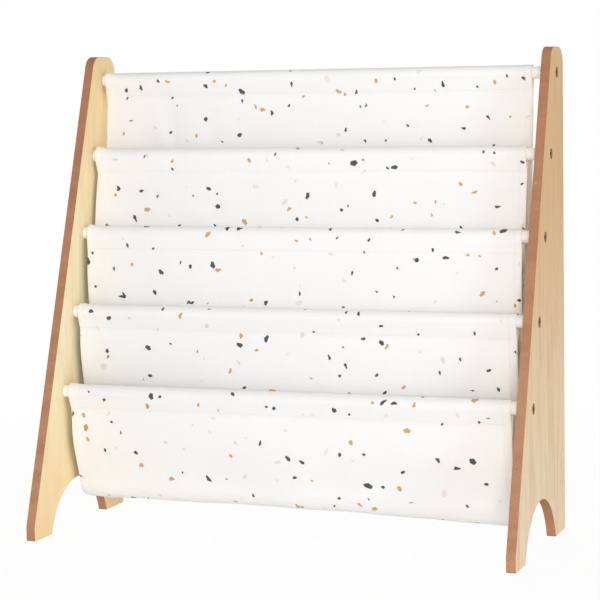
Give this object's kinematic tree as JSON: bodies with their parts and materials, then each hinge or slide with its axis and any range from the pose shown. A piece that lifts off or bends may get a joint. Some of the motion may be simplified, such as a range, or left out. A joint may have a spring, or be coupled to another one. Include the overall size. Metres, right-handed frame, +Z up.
{
  "type": "sling bookshelf",
  "caption": "Low children's bookshelf: two sloping side panels joined by round rods that carry a speckled cloth sling with book pockets.",
  "frame": {"origin": "on the floor, in the middle of the four feet", "axes": "+X along the rods to the right as seen from the front, +Y towards the back, +Z up"},
  "size_m": [0.6196, 0.26, 0.6],
  "materials": {
    "board": "pale wood-grain face on fibreboard, bare brown edges",
    "rod_lacquer": "white lacquer, semi-gloss",
    "bolt_steel": "dark bronze-coloured plating",
    "insert_brass": "plain turned brass",
    "sling_cloth": "off-white woven cloth printed with scattered stone chips"
  },
  "bodies": {
    "root": {"left_side_panel": "board", "right_side_panel": "board", "rod_1": "rod_lacquer", "rod_2": "rod_lacquer", "rod_3": "rod_lacquer", "rod_4": "rod_lacquer", "rod_5": "rod_lacquer", "left_insert_1": "insert_brass", "left_insert_2": "insert_brass", "left_insert_3": "insert_brass", "left_insert_4": "insert_brass", "left_insert_5": "insert_brass", "right_insert_1": "insert_brass", "right_insert_2": "insert_brass", "right_insert_3": "insert_brass", "right_insert_4": "insert_brass", "right_insert_5": "insert_brass", "left_bolt_1": "bolt_steel", "left_bolt_2": "bolt_steel", "left_bolt_3": "bolt_steel", "left_bolt_4": "bolt_steel", "left_bolt_5": "bolt_steel", "right_bolt_1": "bolt_steel", "right_bolt_2": "bolt_steel", "right_bolt_3": "bolt_steel", "right_bolt_4": "bolt_steel", "right_bolt_5": "bolt_steel", "sling_main_sheet": "sling_cloth", "pocket_front_upper": "sling_cloth", "pocket_front_middle": "sling_cloth", "pocket_front_lower": "sling_cloth"}
  },
  "joints": []
}
